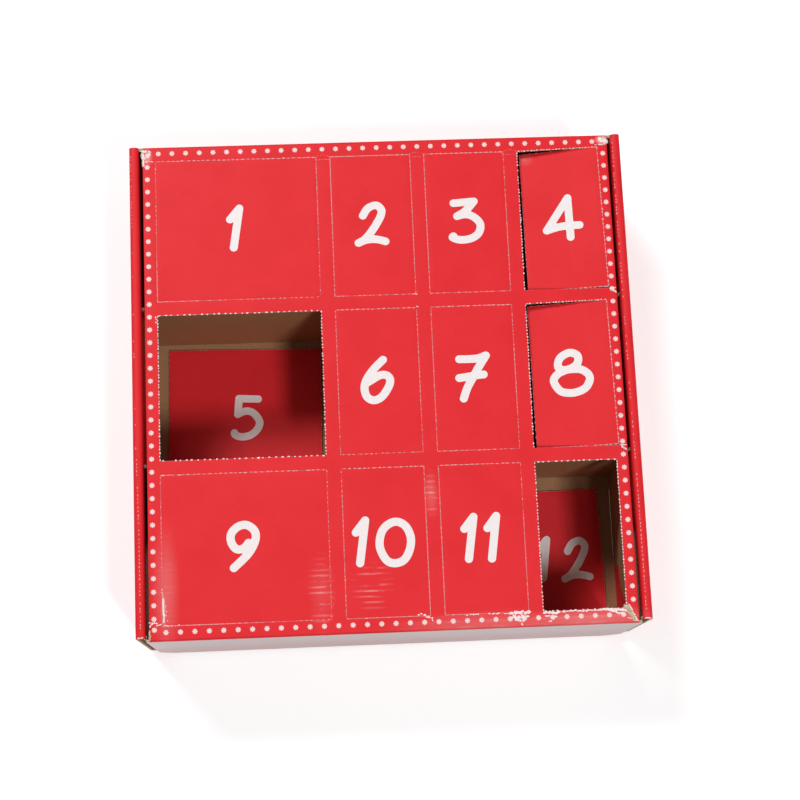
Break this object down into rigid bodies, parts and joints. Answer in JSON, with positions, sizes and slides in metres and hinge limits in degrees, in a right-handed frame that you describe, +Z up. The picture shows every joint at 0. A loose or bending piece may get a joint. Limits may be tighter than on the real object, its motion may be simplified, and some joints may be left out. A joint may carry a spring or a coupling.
{
  "type": "advent calendar box",
  "caption": "Flat cardboard box with rolled side walls and a hinged lid cut into numbered perforated doors over a grid of cells.",
  "frame": {"origin": "centre of the underside", "axes": "+X to the right and +Y to the back, seen from the front flap; +Z up"},
  "size_m": [0.29, 0.289, 0.092],
  "materials": {
    "red_print": "satin red print on board",
    "kraft_board": "bare brown board",
    "pale_coating": "pale coated board",
    "white_print": "white ink and torn white facing"
  },
  "bodies": {
    "box": {"floor_panel": "kraft_board", "front_wall": "kraft_board", "back_wall": "red_print", "side_wall_left": "red_print", "side_wall_right": "red_print", "roll_top_left": "red_print", "roll_top_right": "red_print", "inner_wall_left": "red_print", "inner_wall_right": "red_print", "front_tab_left": "kraft_board", "front_tab_right": "kraft_board", "back_tab_left": "kraft_board", "back_tab_right": "kraft_board", "row_divider_back": "kraft_board", "row_divider_front": "kraft_board", "column_divider_left": "kraft_board", "column_divider_middle": "kraft_board", "column_divider_right": "kraft_board"},
    "lid": {"lid_panel": "red_print"},
    "flap": {"front_flap": "pale_coating", "ear_left": "kraft_board", "ear_right": "kraft_board"},
    "door_1_body": {"door_1": "red_print"},
    "door_2_body": {"door_2": "red_print"},
    "door_3_body": {"door_3": "red_print"},
    "door_4_body": {"door_4": "red_print"},
    "door_5_body": {"door_5": "red_print"},
    "door_6_body": {"door_6": "red_print"},
    "door_7_body": {"door_7": "red_print"},
    "door_8_body": {"door_8": "red_print"},
    "door_9_body": {"door_9": "red_print"},
    "door_10_body": {"door_10": "red_print"},
    "door_11_body": {"door_11": "red_print"},
    "door_12_body": {"door_12": "red_print"}
  },
  "joints": [
    {"name": "lid_hinge", "type": "hinge", "parent": "box", "child": "lid", "pos_m": [0, 0.1445, 0.0904], "axis": [1, 0, 0], "range_deg": [-180, 0]},
    {"name": "flap_hinge", "type": "hinge", "parent": "lid", "child": "flap", "pos_m": [0, -0.1445, 0.0904], "axis": [1, 0, 0], "range_deg": [-90, 0]},
    {"name": "door_1_hinge", "type": "hinge", "parent": "lid", "child": "door_1_body", "pos_m": [-0.1296, 0.0929, 0.092], "axis": [0, -1, 0], "range_deg": [0, 120]},
    {"name": "door_2_hinge", "type": "hinge", "parent": "lid", "child": "door_2_body", "pos_m": [0.01978, 0.0929, 0.092], "axis": [0, 1, 0], "range_deg": [0, 120]},
    {"name": "door_3_hinge", "type": "hinge", "parent": "lid", "child": "door_3_body", "pos_m": [0.07504, 0.0929, 0.092], "axis": [0, 1, 0], "range_deg": [0, 120]},
    {"name": "door_4_hinge", "type": "hinge", "parent": "lid", "child": "door_4_body", "pos_m": [0.13175, 0.09418, 0.092], "axis": [-0.0227, 0.9997, 0], "range_deg": [0, 125.5]},
    {"name": "door_5_lift", "type": "slide", "parent": "box", "child": "door_5_body", "axis": [0, 0, 1], "range_m": [0, 0.08]},
    {"name": "door_6_hinge", "type": "hinge", "parent": "lid", "child": "door_6_body", "pos_m": [0.01978, -0.0003, 0.092], "axis": [0, 1, 0], "range_deg": [0, 120]},
    {"name": "door_7_hinge", "type": "hinge", "parent": "lid", "child": "door_7_body", "pos_m": [0.07504, -0.0003, 0.092], "axis": [0, 1, 0], "range_deg": [0, 120]},
    {"name": "door_8_hinge", "type": "hinge", "parent": "lid", "child": "door_8_body", "pos_m": [0.13175, 0.00098, 0.092], "axis": [-0.0227, 0.9997, 0], "range_deg": [0, 125.5]},
    {"name": "door_9_hinge", "type": "hinge", "parent": "lid", "child": "door_9_body", "pos_m": [-0.1296, -0.0935, 0.092], "axis": [0, -1, 0], "range_deg": [0, 120]},
    {"name": "door_10_hinge", "type": "hinge", "parent": "lid", "child": "door_10_body", "pos_m": [0.01978, -0.0935, 0.092], "axis": [0, 1, 0], "range_deg": [0, 120]},
    {"name": "door_11_hinge", "type": "hinge", "parent": "lid", "child": "door_11_body", "pos_m": [0.07504, -0.0935, 0.092], "axis": [0, 1, 0], "range_deg": [0, 120]},
    {"name": "door_12_lift", "type": "slide", "parent": "box", "child": "door_12_body", "axis": [0, 0, 1], "range_m": [0, 0.08]}
  ]
}
